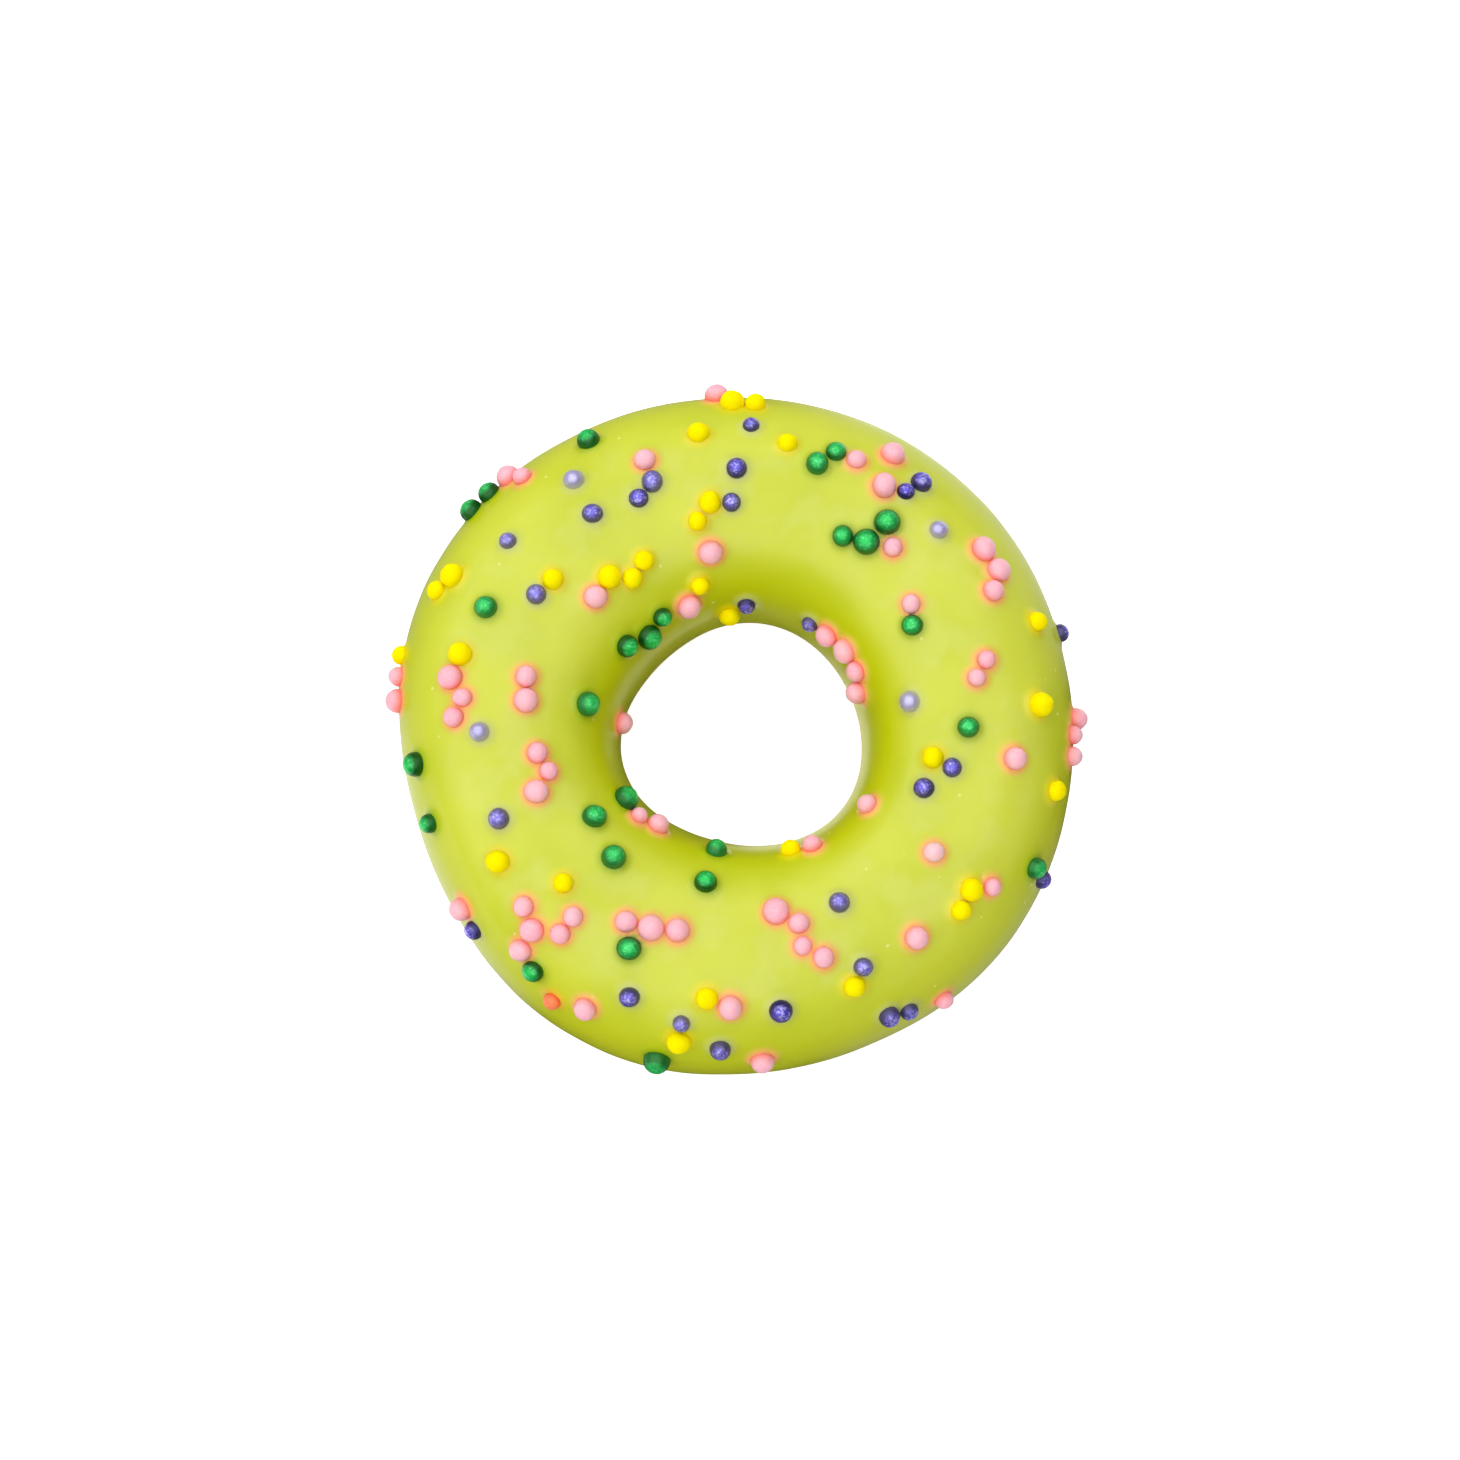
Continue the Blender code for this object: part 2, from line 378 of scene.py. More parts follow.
softPatches = buildSoftPatches()
pearlDust = buildPearlDust()


def newMaterial(name, values):
    material = bpy.data.materials.new(name)
    material.use_nodes = True
    surface = material.node_tree.nodes["Principled BSDF"]
    for label, value in values.items():
        surface.inputs[label].default_value = value
    return material, material.node_tree, surface


def addShared(tree, group, values):
    node = addNode(tree, "ShaderNodeGroup", node_tree=group)
    for label, value in values.items():
        node.inputs[label].default_value = value
    return node.outputs[0]


def addValue(tree, name):
    return addNode(tree, "ShaderNodeAttribute", attribute_name=name)


# Colour between two, by a mask that is first made weaker by amount
def mixColour(tree, mask, first, second, amount=1.0):
    weaker = addNode(tree, "ShaderNodeMath", operation="MULTIPLY")
    weaker.inputs[1].default_value = amount
    tree.links.new(mask, weaker.inputs[0])
    mix = addNode(tree, "ShaderNodeMix", data_type="RGBA")
    tree.links.new(weaker.outputs[0], mix.inputs["Factor"])
    for socket, colour in zip([s for s in mix.inputs if s.type == "RGBA"], (first, second)):
        if isinstance(colour, tuple):
            socket.default_value = (*colour, 1.0)
        else:
            tree.links.new(colour, socket)
    return [s for s in mix.outputs if s.type == "RGBA"][0]


def addBump(tree, surface, height, strength, distance):
    bump = addNode(tree, "ShaderNodeBump")
    bump.inputs["Strength"].default_value = strength
    bump.inputs["Distance"].default_value = distance
    tree.links.new(height, bump.inputs["Height"])
    tree.links.new(bump.outputs["Normal"], surface.inputs["Normal"])


def mapped(tree, value, low, high, toLow, toHigh):
    spread = addNode(tree, "ShaderNodeMapRange")
    for label, number in (("From Min", low), ("From Max", high), ("To Min", toLow), ("To Max", toHigh)):
        spread.inputs[label].default_value = number
    tree.links.new(value, spread.inputs["Value"])
    return spread.outputs[0]


# Lime glaze: a skin from a wavy hem outside, over the top and down the hole to a hem there
glaze = {
    "thickness": 1.2 * mm,
    "hemLean": -16.0,
    "hemLobes": [(3, 2.0, 10), (7, 1.6, 40), (11, 1.2, 75)],
    "hemNose": 3.0,
    "columns": 540,
    "topRows": 140,
    "noseRows": 6,
    "underRows": 8,
    "swells": [(9.0 * mm, 0.10 * mm, 3.0), (3.2 * mm, 0.03 * mm, 11.0)],
    "hemTurn": 0.5,  # radians that the inner hem's waves are turned from the outer one's
    "reliefDepth": 0.25,  # only this share of the thickness, at the outer face, takes relief
    # In pearl radii: where a collar and its stain and painted shade begin, and how far out and up or
    # down they go
    "collarFrom": 0.94,
    "collarReach": 3.0,
    "collarLevels": 1.6,
    "collarHeight": 0.2 * mm,
    "collarWidth": 0.38 * mm,
    "stainAndShadeWidth": 0.3 * mm,
    # Thick and milky on top, its paleness partly a painted highlight, thinner and deeper down the
    # sides, the deeper colour partly painted shade: degrees from the crest, colour
    "depthsAndShade": [(34, linear(205, 213, 68)), (58, linear(193, 201, 10)), (84, linear(180, 188, 3))],
    "holeShading": 1.2,  # painted shade: the hole goes further down the colour ramp, so darker
    "cloud": linear(188, 200, 26),
    "cloudSize": 9 * mm,
    "cloudAmount": 0.5,
    # Painted highlight: pale cream patches, only on the top of the ring
    "creamHighlight": linear(214, 220, 116),
    "creamHighlightPatches": {"Patch Size": 4.5 * mm, "Detail": 3.0, "Low": 0.42, "High": 0.66},
    "creamHighlightAmount": 0.35,
    "creamHighlightDepths": (0.5, 0.25),  # none from the first depth on, all of it up to the second
    "speck": linear(238, 238, 150),
    "speckAmount": 0.6,
    "specksApart": 3.0 * mm,
    "speckWidth": 0.36 * mm,
    "ripples": {"Patch Size": 1.1 * mm, "Detail": 3.0, "Low": 0.2, "High": 0.8},
    "rippleStrength": 0.12,
    "rippleHeight": 0.1 * mm,
    "roughness": 0.3,
}


def glazeMaterial():
    material, tree, surface = newMaterial("limeGlaze", {
        "Roughness": glaze["roughness"],
        "IOR": 1.47,
        "Specular IOR Level": 0.3,
        "Subsurface Weight": 0.3,
        "Subsurface Radius": (1.0, 0.9, 0.12),
        "Subsurface Scale": 1.2 * mm,
        "Coat Weight": 0.1,
        "Coat Roughness": 0.12,
    })
    # Colour by lean: paler on top as a painted highlight, deeper down the sides partly as painted
    # shade, deeper still in the hole as painted shade
    depthsAndShade = addNode(tree, "ShaderNodeValToRGB")
    stops = depthsAndShade.color_ramp.elements
    while len(stops) < len(glaze["depthsAndShade"]):
        stops.new(0.5)
    for stop, (lean, colour) in zip(stops, glaze["depthsAndShade"]):
        stop.position, stop.color = lean / 90, (*colour, 1.0)
    depth = addValue(tree, "depth").outputs["Fac"]
    tree.links.new(depth, depthsAndShade.inputs["Fac"])
    patches = addShared(tree, softPatches, {"Patch Size": glaze["cloudSize"]})
    base = depthsAndShade.outputs["Color"]
    colour = mixColour(tree, patches, base, glaze["cloud"], glaze["cloudAmount"])
    # Painted highlight: cream patches kept to the top
    highlightMask = addNode(tree, "ShaderNodeMath", operation="MULTIPLY")
    tree.links.new(addShared(tree, softPatches, glaze["creamHighlightPatches"]), highlightMask.inputs[0])
    tree.links.new(mapped(tree, depth, *glaze["creamHighlightDepths"], 0.0, 1.0), highlightMask.inputs[1])
    colour = mixColour(tree, highlightMask.outputs[0], colour, glaze["creamHighlight"], glaze["creamHighlightAmount"])
    cells = addNode(tree, "ShaderNodeTexVoronoi")
    cells.inputs["Scale"].default_value = 1 / glaze["specksApart"]
    place = addNode(tree, "ShaderNodeTexCoord")
    tree.links.new(place.outputs["Object"], cells.inputs["Vector"])
    edge = glaze["speckWidth"] / 2 / glaze["specksApart"]
    specks = mapped(tree, cells.outputs["Distance"], edge, edge / 2, 0.0, 1.0)
    colour = mixColour(tree, specks, colour, glaze["speck"], glaze["speckAmount"])
    # Dye stain round the pearls, and painted shade round the green ones
    stainAndShade = addValue(tree, "stainAndShade")
    colour = mixColour(tree, stainAndShade.outputs["Alpha"], colour, stainAndShade.outputs["Color"])
    tree.links.new(colour, surface.inputs["Base Color"])
    ripples = addShared(tree, softPatches, glaze["ripples"])
    addBump(tree, surface, ripples, glaze["rippleStrength"], glaze["rippleHeight"])
    return material


def buildGlaze():
    bearings = np.arange(glaze["columns"]) * math.tau / glaze["columns"]
    outside = lobed(glaze["hemLean"], glaze["hemLobes"], bearings, np.cos)
    turned = bearings + glaze["hemTurn"]
    inside = 180 - lobed(glaze["hemLean"], glaze["hemLobes"], turned, np.cos)
    nose = math.pi * np.arange(1, glaze["noseRows"] + 1) / (glaze["noseRows"] + 1)
    topShares = np.linspace(0, 1, glaze["topRows"] + 1)
    underShares = np.linspace(1, 0, glaze["underRows"] + 1)
    # Each row is (share of the way from hem to hem, depth under the surface, degrees past the hem)
    rows = [(share, 0.0, 0.0) for share in topShares]
    half, past = glaze["thickness"] / 2, glaze["hemNose"]
    rows += [(1.0, half - half * math.cos(turn), past * math.sin(turn)) for turn in nose]
    rows += [(share, glaze["thickness"], 0.0) for share in underShares]
    rows += [(0.0, half + half * math.cos(turn), -past * math.sin(turn)) for turn in nose]
    share, inset, past = (np.array(column)[:, None] for column in zip(*rows))
    leans = outside + (inside - outside) * share + past
    points = ringGrid(bearings[None, :], np.radians(leans), inset)
    normals = gridNormals(points)

    lift = np.zeros(points.shape[:2])
    for size, depth, turn in glaze["swells"]:
        lift += reliefOf(points, size, depth, turn)
    collar = np.zeros(points.shape[:2])
    stainAndShade = np.zeros(points.shape[:2] + (4,))
    for centre, outward, radius, colour in laidPearls:
        kind = pearlKinds[colour.upper()]
        away = points - np.array(centre)
        height = away @ np.array(outward)
        offAxis = np.linalg.norm(away - height[..., None] * np.array(outward), axis=-1)
        near = np.abs(height) < glaze["collarLevels"] * radius
        near &= offAxis < glaze["collarReach"] * radius
        edge = np.maximum(offAxis - glaze["collarFrom"] * radius, 0)
        rise = glaze["collarHeight"] * np.exp(-((edge / glaze["collarWidth"]) ** 2))
        collar = np.where(near, np.maximum(collar, rise), collar)
        # Dye stain, and painted shade round the green pearls, fading out from each pearl's edge
        strength = kind["stainAndShadeStrength"] * np.exp(-((edge / glaze["stainAndShadeWidth"]) ** 2) / 2)
        taken = near & (strength > stainAndShade[..., 3])
        stainAndShade[taken, :3] = kind["stainAndShade"]
        stainAndShade[taken, 3] = strength[taken]
    facing = np.clip(1 - inset / (glaze["reliefDepth"] * glaze["thickness"]), 0, 1)
    points += normals * ((lift + collar) * facing)[..., None]

    piece = addRingPiece("limeGlaze", points, glazeMaterial())
    # Painted shade: further down the colour ramp down the sides, and further still inside the hole
    depth = np.abs(leans - 90) / 90 * np.where(leans > 90, glaze["holeShading"], 1.0)
    storeValues(piece, "depth", "FLOAT", np.clip(depth, 0, 1))
    storeValues(piece, "stainAndShade", "FLOAT_COLOR", stainAndShade)
    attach(piece, "root")
    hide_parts("icing")


buildGlaze()
print("glaze poured")

# Fried dough: bare under the hem, pale near it and browned on the flat that it lies on
crust = {
    "inset": 1.25 * mm,
    "columns": 420,
    "sideRows": 48,
    "hiddenRows": 14,
    "flatRows": 10,
    "hiddenLean": -4.0,
    "wrinkles": [
        (4.5 * mm, 0.16 * mm, 5.0),
        (1.3 * mm, 0.07 * mm, 17.0),
        (0.55 * mm, 0.03 * mm, 23.0),
    ],
    "settle": 0.7 * mm,  # wrinkles die out within this height of the flat
    "brown": linear(194, 124, 54),
    "dark": linear(148, 86, 34),
    "pale": linear(232, 188, 118),
    "paleFrom": 3.4 * mm,
    "paleTo": 5.4 * mm,
    "paleAmount": 0.85,
    "browning": {"Patch Size": 5 * mm, "Detail": 4.0, "Low": 0.3, "High": 0.7},
    "browningAmount": 0.65,
    "grain": {"Patch Size": 0.7 * mm, "Detail": 3.0, "Low": 0.46, "High": 0.7},
    "grainAmount": 0.4,
    "ragged": {"Patch Size": 1.6 * mm, "Detail": 4.0, "Low": 0.2, "High": 0.8},
    "raggedness": 0.7 * mm,  # how far the pale band's lower edge wanders up and down
    "pores": {"Patch Size": 0.35 * mm, "Detail": 6.0, "Low": 0.25, "High": 0.75},
    "poreStrength": 0.5,
    "poreDepth": 0.12 * mm,
}


def crustMaterial():
    material, tree, surface = newMaterial("friedCrust", {
        "Roughness": 0.62,
        "Subsurface Weight": 0.12,
        "Subsurface Radius": (1.0, 0.5, 0.25),
        "Subsurface Scale": 1.0 * mm,
    })
    browning = addShared(tree, softPatches, crust["browning"])
    colour = mixColour(tree, browning, crust["brown"], crust["dark"], crust["browningAmount"])
    grain = addShared(tree, softPatches, crust["grain"])
    colour = mixColour(tree, grain, colour, crust["dark"], crust["grainAmount"])
    place = addNode(tree, "ShaderNodeTexCoord")
    level = addNode(tree, "ShaderNodeSeparateXYZ")
    tree.links.new(place.outputs["Object"], level.inputs[0])
    ragged = addShared(tree, softPatches, crust["ragged"])
    shift = mapped(tree, ragged, 0.0, 1.0, -crust["raggedness"], crust["raggedness"])
    height = addNode(tree, "ShaderNodeMath", operation="ADD")
    tree.links.new(level.outputs["Z"], height.inputs[0])
    tree.links.new(shift, height.inputs[1])
    belt = mapped(tree, height.outputs[0], crust["paleFrom"], crust["paleTo"], 0.0, 1.0)
    colour = mixColour(tree, belt, colour, crust["pale"], crust["paleAmount"])
    tree.links.new(colour, surface.inputs["Base Color"])
    pores = addShared(tree, softPatches, crust["pores"])
    addBump(tree, surface, pores, crust["poreStrength"], crust["poreDepth"])
    return material


def buildCrust():
    bearings = np.arange(crust["columns"]) * math.tau / crust["columns"]
    flatRise = (ring["widestLevel"] / ring["bottomDepth"]) ** (ring["fullness"] / 2)
    flatLean = -math.degrees(math.asin(flatRise))
    first, last = crust["hiddenLean"], 180 - crust["hiddenLean"]
    side = np.linspace(flatLean, first, crust["sideRows"], endpoint=False)
    hidden = np.linspace(first, last, crust["hiddenRows"], endpoint=False)
    leans = np.concatenate([side, hidden, (180 - side)[::-1], [180 - flatLean]])
    leans = np.radians(np.unique(leans))[:, None]
    points = ringGrid(bearings[None, :], leans, crust["inset"])
    under = points[..., 2] < ring["widestLevel"]
    stretch = ring["bottomDepth"] / (ring["bottomDepth"] - crust["inset"])
    lowered = ring["widestLevel"] - (ring["widestLevel"] - points[..., 2]) * stretch
    points[..., 2] = np.where(under, lowered, points[..., 2])
    shares = np.linspace(0, 1, crust["flatRows"] + 2)[1:-1, None, None]
    flat = points[-1] + (points[0] - points[-1]) * shares
    points = np.concatenate([points, flat])
    normals = gridNormals(points)
    lift = sum(reliefOf(points, size, depth, turn) for size, depth, turn in crust["wrinkles"])
    fade = np.clip(points[..., 2] / crust["settle"], 0, 1)
    fade *= np.clip((ring["widestLevel"] - points[..., 2]) / mm, 0, 1)
    points += normals * (lift * fade)[..., None]
    points[..., 2] = np.maximum(points[..., 2], 0)

    piece = addRingPiece("friedDough", points, crustMaterial())
    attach(piece, "root")
    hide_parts("dough")


buildCrust()
print("dough fried")


# Turns points that carry a radius, an outward direction and a paleness into pearls
def buildPearlTree():
    tree = bpy.data.node_groups.new("sugarPearls", "GeometryNodeTree")
    for label, kind in (
        ("Geometry", "NodeSocketGeometry"),
        ("Sides", "NodeSocketInt"),
        ("Rings", "NodeSocketInt"),
        ("Out Of Round", "NodeSocketFloat"),
        ("Lump Height", "NodeSocketFloat"),
        ("Lump Size", "NodeSocketFloat"),
        ("Seed", "NodeSocketInt"),
        ("Coat", "NodeSocketMaterial"),
    ):
        tree.interface.new_socket(label, in_out="INPUT", socket_type=kind)
    tree.interface.new_socket("Geometry", in_out="OUTPUT", socket_type="NodeSocketGeometry")
    given = tree.nodes.new("NodeGroupInput")
    made = tree.nodes.new("NodeGroupOutput")
    link = tree.links.new

    def named(label, kind):
        node = addNode(tree, "GeometryNodeInputNamedAttribute", data_type=kind)
        node.inputs["Name"].default_value = label
        return [s for s in node.outputs if s.enabled and s.name == "Attribute"][0]

    def shown(sockets, label):
        return [s for s in sockets if s.enabled and s.name == label][0]

    ball = addNode(tree, "GeometryNodeMeshUVSphere")
    link(given.outputs["Sides"], ball.inputs["Segments"])
    link(given.outputs["Rings"], ball.inputs["Rings"])
    ball.inputs["Radius"].default_value = 1.0
    smooth = addNode(tree, "GeometryNodeSetShadeSmooth")
    link(ball.outputs["Mesh"], smooth.inputs["Geometry"])

    turned = addNode(tree, "FunctionNodeAlignRotationToVector", axis="Z")
    link(named("outward", "FLOAT_VECTOR"), turned.inputs["Vector"])

    # A pearl is a little longer one way than another
    squeeze = addNode(tree, "FunctionNodeRandomValue", data_type="FLOAT_VECTOR")
    least = addNode(tree, "ShaderNodeMath", operation="SUBTRACT")
    least.inputs[0].default_value = 1.0
    most = addNode(tree, "ShaderNodeMath", operation="ADD")
    most.inputs[0].default_value = 1.0
    link(given.outputs["Out Of Round"], least.inputs[1])
    link(given.outputs["Out Of Round"], most.inputs[1])
    link(least.outputs[0], shown(squeeze.inputs, "Min"))
    link(most.outputs[0], shown(squeeze.inputs, "Max"))
    link(given.outputs["Seed"], shown(squeeze.inputs, "Seed"))
    sized = addNode(tree, "ShaderNodeVectorMath", operation="SCALE")
    link(shown(squeeze.outputs, "Value"), sized.inputs[0])
    link(named("radius", "FLOAT"), sized.inputs["Scale"])

    strewn = addNode(tree, "GeometryNodeInstanceOnPoints")
    link(given.outputs["Geometry"], strewn.inputs["Points"])
    link(smooth.outputs[0], strewn.inputs["Instance"])
    link(turned.outputs[0], strewn.inputs["Rotation"])
    link(sized.outputs[0], strewn.inputs["Scale"])
    real = addNode(tree, "GeometryNodeRealizeInstances")
    link(strewn.outputs[0], real.inputs[0])

    # Low lumps
    place = addNode(tree, "GeometryNodeInputPosition")
    normal = addNode(tree, "GeometryNodeInputNormal")
    perLump = addNode(tree, "ShaderNodeMath", operation="DIVIDE")
    perLump.inputs[0].default_value = 1.0
    link(given.outputs["Lump Size"], perLump.inputs[1])
    cloud = addNode(tree, "ShaderNodeTexNoise")
    link(place.outputs[0], cloud.inputs["Vector"])
    link(perLump.outputs[0], cloud.inputs["Scale"])
    centred = addNode(tree, "ShaderNodeMath", operation="SUBTRACT")
    centred.inputs[1].default_value = 0.5
    link(cloud.outputs[0], centred.inputs[0])
    high = addNode(tree, "ShaderNodeMath", operation="MULTIPLY")
    link(centred.outputs[0], high.inputs[0])
    link(given.outputs["Lump Height"], high.inputs[1])
    push = addNode(tree, "ShaderNodeVectorMath", operation="SCALE")
    link(normal.outputs[0], push.inputs[0])
    link(high.outputs[0], push.inputs["Scale"])
    lumpy = addNode(tree, "GeometryNodeSetPosition")
    link(real.outputs[0], lumpy.inputs["Geometry"])
    link(push.outputs[0], lumpy.inputs["Offset"])

    # The crown is 1 where a pearl faces away from the glaze and 0 at its waist
    upness = addNode(tree, "ShaderNodeVectorMath", operation="DOT_PRODUCT")
    link(normal.outputs[0], upness.inputs[0])
    link(named("outward", "FLOAT_VECTOR"), upness.inputs[1])
    crown = addNode(tree, "GeometryNodeStoreNamedAttribute", data_type="FLOAT", domain="POINT")
    crown.inputs["Name"].default_value = "crown"
    link(lumpy.outputs[0], crown.inputs["Geometry"])
    link(upness.outputs["Value"], shown(crown.inputs, "Value"))
    coated = addNode(tree, "GeometryNodeSetMaterial")
    link(crown.outputs[0], coated.inputs["Geometry"])
    link(given.outputs["Coat"], coated.inputs["Material"])
    link(coated.outputs[0], made.inputs[0])
    return tree


def pearlMaterial(kind):
    material, tree, surface = newMaterial(kind["name"], {
        "Roughness": kind["roughness"],
        "Metallic": kind["metal"],
        "Specular IOR Level": kind["specular"],
        "Subsurface Weight": kind["glow"],
        "Subsurface Radius": (1.0, 0.5, 0.4),
        "Subsurface Scale": 0.5 * mm,
        "Coat Weight": kind["sheen"],
        "Coat Roughness": 0.25,
    })
    # Painted shade: the top colour where the pearl faces away from the glaze, the darker side colour
    # towards its waist
    crown = mapped(tree, addValue(tree, "crown").outputs["Fac"], *kind["crown"], 0.0, 1.0)
    colour = mixColour(tree, crown, kind["side"], kind["top"])
    colour = mixColour(tree, addValue(tree, "paleness").outputs["Fac"], colour, kind["pale"])
    # Pearl-dust flecks: a paler colour of their own, shown only towards the top as a painted glint
    fleck = {"Fleck Size": pearls["fleckSize"], "Share": pearls["fleckShare"]}
    dust = addShared(tree, pearlDust, fleck)
    lit = addNode(tree, "ShaderNodeMath", operation="MULTIPLY")
    tree.links.new(dust, lit.inputs[0])
    tree.links.new(crown, lit.inputs[1])
    colour = mixColour(tree, lit.outputs[0], colour, kind["fleck"], kind["fleckAmount"])
    tree.links.new(colour, surface.inputs["Base Color"])
    addBump(tree, surface, dust, 0.15, 0.05 * mm)
    return material


def buildPearls():
    tree = buildPearlTree()
    sockets = [item for item in tree.interface.items_tree if item.in_out == "INPUT"]
    inputs = {socket.name: socket.identifier for socket in sockets}
    draw = random.Random(pearls["seed"] + 1)
    for letter, kind in pearlKinds.items():
        mine = [pearl for pearl in laidPearls if pearl[3].upper() == letter]
        paleness = [
            draw.uniform(*pearls["palenessOfPale" if pearl[3].islower() else "palenessOfOthers"])
            for pearl in mine
        ]
        mesh = bpy.data.meshes.new(kind["name"])
        mesh.from_pydata([pearl[0] for pearl in mine], [], [])
        piece = bpy.data.objects.new(kind["name"], mesh)
        bpy.context.scene.collection.objects.link(piece)
        storeValues(piece, "radius", "FLOAT", np.array([pearl[2] for pearl in mine]))
        storeValues(piece, "paleness", "FLOAT", np.array(paleness))
        outward = mesh.attributes.new("outward", "FLOAT_VECTOR", "POINT")
        outward.data.foreach_set("vector", [part for pearl in mine for part in pearl[1]])

        strew = piece.modifiers.new("sugarPearls", "NODES")
        strew.node_group = tree
        for label, value in (
            ("Sides", pearls["sides"]), ("Rings", pearls["rings"]),
            ("Out Of Round", pearls["outOfRound"]),
            ("Lump Height", kind["lumps"]), ("Lump Size", pearls["lumpSize"]),
            ("Seed", pearls["seed"]), ("Coat", pearlMaterial(kind)),
        ):
            strew[inputs[label]] = value
        bpy.context.view_layer.update()
        evaluated = piece.evaluated_get(bpy.context.evaluated_depsgraph_get())
        solid = bpy.data.meshes.new_from_object(evaluated)
        piece.modifiers.clear()
        piece.data = solid
        bpy.data.meshes.remove(mesh)
        solid.name = kind["name"]
        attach(piece, "root")
        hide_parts("icing")
        print(kind["name"], len(mine))


buildPearls()
print("pearls strewn")

# Pale floor, soft light and the camera above the doughnut's near side
studio = {
    "floorSide": 6.0,
    "floorColour": (0.8, 0.8, 0.8),
    "floorGlow": 0.75,  # what lifts it to the photograph's white, to the eye only
    # Painted light and shadow on the floor, seen only in the gloss of the glaze: dark, but for patches
    # painted bright. A patch is its bearing and, in degrees off that, where it ends and where it is
    # full, then its brightness and how far from the middle it begins and is full.
    "glossFloor": 0.04,
    "glossPatches": [
        (48, 40, 18, 1.0, 22 * mm, 30 * mm),
        (135, 60, 30, 0.35, 22 * mm, 30 * mm),
        (199, 36, 14, 1.2, 22 * mm, 30 * mm),
        (316, 34, 15, 0.5, 22 * mm, 30 * mm),
        (-15, 80, 35, 1.7, 20 * mm, 12 * mm),  # the light that falls through the hole
    ],
    # Painted bounce light: the floor under the hole glows to diffuse rays, for what the table sends
    # back up the hole
    "holeGlow": 1.1,
    "holeGlowReach": (12 * mm, 8 * mm),
    "skyStrength": 0.24,
    "skyGlossed": 0.06,
    "cameraLean": 80.0,  # degrees above the floor
    "lens": 85.0,
    "sensor": 36.0,
    "pictureWidth": 128.9 * mm,  # what the picture spans at the ring's widest level
    "aim": Vector((-0.54, 0.21, 8.7)) * mm,
    # Name, azimuth and height above the floor in degrees, distance, width and height in
    # metres, watts, and whether the gloss shows it
    "lights": [
        ("overhead", 165, 75, 0.7, 1.6, 1.6, 11.7, True),
        ("fillNear", 265, 12, 0.5, 0.4, 0.12, 0.4, False),
        ("fillRight", 80, 14, 0.5, 0.4, 0.16, 0.45, False),
    ],
}


def fromAngles(azimuth, height, distance):
    a, h = math.radians(azimuth), math.radians(height)
    return Vector((math.cos(a) * math.cos(h), math.sin(a) * math.cos(h), math.sin(h))) * distance


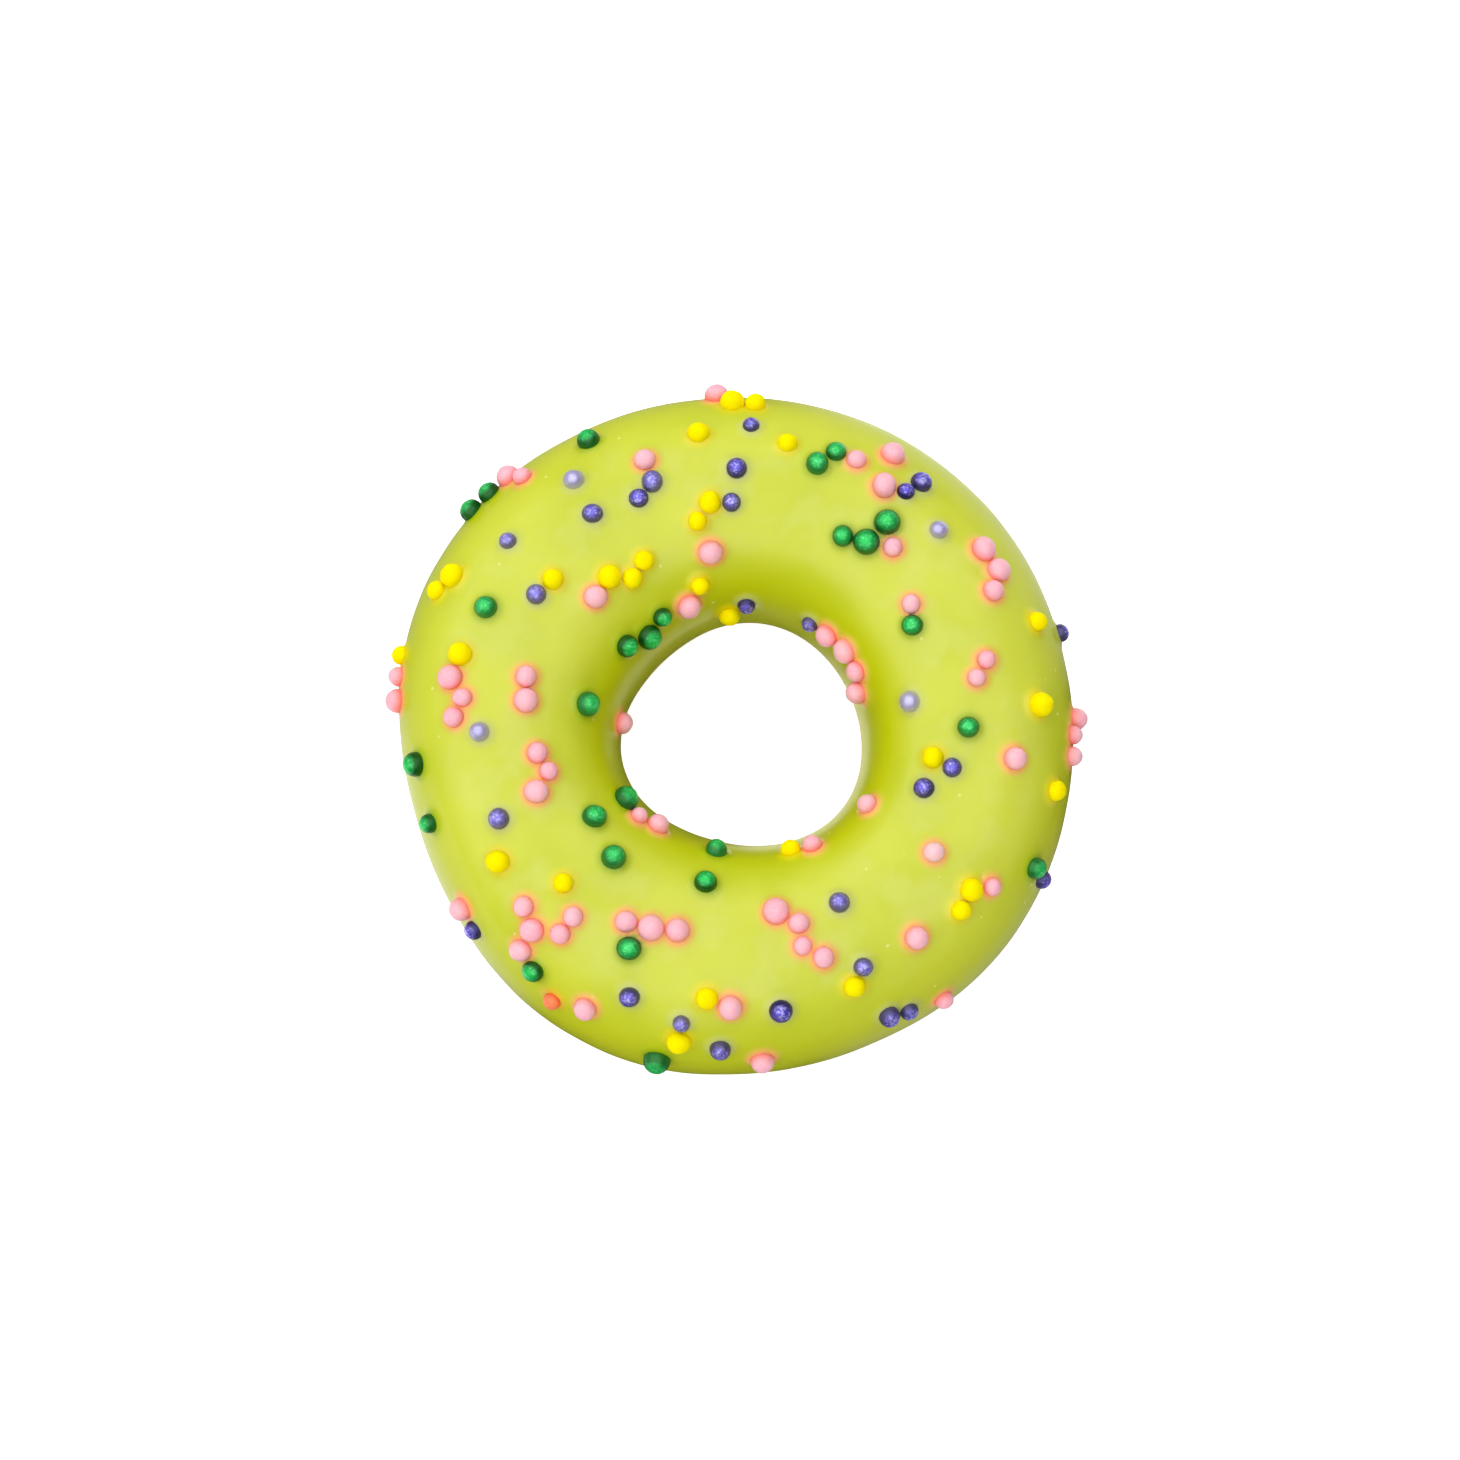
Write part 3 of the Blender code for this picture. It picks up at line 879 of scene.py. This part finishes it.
def buildStudio():
    half = studio["floorSide"] / 2
    mesh = bpy.data.meshes.new("floor")
    corners = [(-half, -half, 0), (half, -half, 0), (half, half, 0), (-half, half, 0)]
    mesh.from_pydata(corners, [], [(0, 1, 2, 3)])
    paint, tree, surface = newMaterial("paleFloor", {
        "Roughness": 0.9, "Emission Color": (1.0, 1.0, 1.0, 1.0),
    })
    place = addNode(tree, "ShaderNodeTexCoord")
    away = addNode(tree, "ShaderNodeVectorMath", operation="LENGTH")
    tree.links.new(place.outputs["Object"], away.inputs[0])
    towards = addNode(tree, "ShaderNodeVectorMath", operation="NORMALIZE")
    tree.links.new(place.outputs["Object"], towards.inputs[0])
    # Painted light and shadow on the floor, for glossy rays only
    glossed = addNode(tree, "ShaderNodeValue").outputs[0]
    glossed.default_value = studio["glossFloor"]
    for bearing, end, full, strength, begins, whole in studio["glossPatches"]:
        along = addNode(tree, "ShaderNodeVectorMath", operation="DOT_PRODUCT")
        along.inputs[1].default_value = fromAngles(bearing, 0, 1)
        tree.links.new(towards.outputs[0], along.inputs[0])
        aside = [math.cos(math.radians(angle)) for angle in (end, full)]
        patch = addNode(tree, "ShaderNodeMath", operation="MULTIPLY")
        tree.links.new(mapped(tree, along.outputs["Value"], *aside, 0.0, strength), patch.inputs[0])
        tree.links.new(mapped(tree, away.outputs["Value"], begins, whole, 0.0, 1.0), patch.inputs[1])
        brightest = addNode(tree, "ShaderNodeMath", operation="MAXIMUM")
        tree.links.new(glossed, brightest.inputs[0])
        tree.links.new(patch.outputs[0], brightest.inputs[1])
        glossed = brightest.outputs[0]
    ray = addNode(tree, "ShaderNodeLightPath")
    colour = mixColour(tree, ray.outputs["Is Glossy Ray"], studio["floorColour"], glossed)
    tree.links.new(colour, surface.inputs["Base Color"])
    # Painted bounce light: the floor under the hole glows to diffuse rays
    reach = studio["holeGlowReach"]
    underHole = mapped(tree, away.outputs["Value"], *reach, 0.0, studio["holeGlow"])
    upwards = addNode(tree, "ShaderNodeMath", operation="MULTIPLY")
    tree.links.new(ray.outputs["Is Diffuse Ray"], upwards.inputs[0])
    tree.links.new(underHole, upwards.inputs[1])
    glow = addNode(tree, "ShaderNodeMath", operation="MAXIMUM")
    tree.links.new(upwards.outputs[0], glow.inputs[0])
    toEye = mapped(tree, ray.outputs["Is Camera Ray"], 0.0, 1.0, 0.0, studio["floorGlow"])
    tree.links.new(toEye, glow.inputs[1])
    tree.links.new(glow.outputs[0], surface.inputs["Emission Strength"])
    mesh.materials.append(paint)
    floor = bpy.data.objects.new("floor", mesh)
    bpy.context.scene.collection.objects.link(floor)

    world = bpy.data.worlds.new("softSky")
    world.use_nodes = True
    tree = world.node_tree
    background = tree.nodes["Background"]
    background.inputs["Color"].default_value = (1.0, 1.0, 1.0, 1.0)
    ray = addNode(tree, "ShaderNodeLightPath")
    strengths = studio["skyStrength"], studio["skyGlossed"]
    lit = mapped(tree, ray.outputs["Is Glossy Ray"], 0.0, 1.0, *strengths)
    seen = addNode(tree, "ShaderNodeMath", operation="MAXIMUM")
    tree.links.new(lit, seen.inputs[0])
    tree.links.new(ray.outputs["Is Camera Ray"], seen.inputs[1])
    tree.links.new(seen.outputs[0], background.inputs["Strength"])
    bpy.context.scene.world = world

    for name, azimuth, height, distance, width, depth, watts, glossed in studio["lights"]:
        lamp = bpy.data.lights.new(name, "AREA")
        lamp.shape = "RECTANGLE"
        lamp.size, lamp.size_y = width, depth
        lamp.energy = watts
        light = bpy.data.objects.new(name, lamp)
        light.location = fromAngles(azimuth, height, distance)
        light.rotation_euler = light.location.to_track_quat("Z", "Y").to_euler()
        light.visible_glossy = glossed
        bpy.context.scene.collection.objects.link(light)

    lens = bpy.data.cameras.new("camera")
    lens.lens, lens.sensor_width = studio["lens"], studio["sensor"]
    camera = bpy.data.objects.new("camera", lens)
    distance = studio["pictureWidth"] * studio["lens"] / studio["sensor"]
    back = fromAngles(-90, studio["cameraLean"], distance)
    camera.location = studio["aim"] + back
    camera.rotation_euler = back.to_track_quat("Z", "Y").to_euler()
    lens.clip_start = 0.01
    bpy.context.scene.collection.objects.link(camera)
    bpy.context.scene.camera = camera
    bpy.context.scene.view_settings.view_transform = "Standard"


buildStudio()
print("studio lit")

bpy.context.view_layer.update()
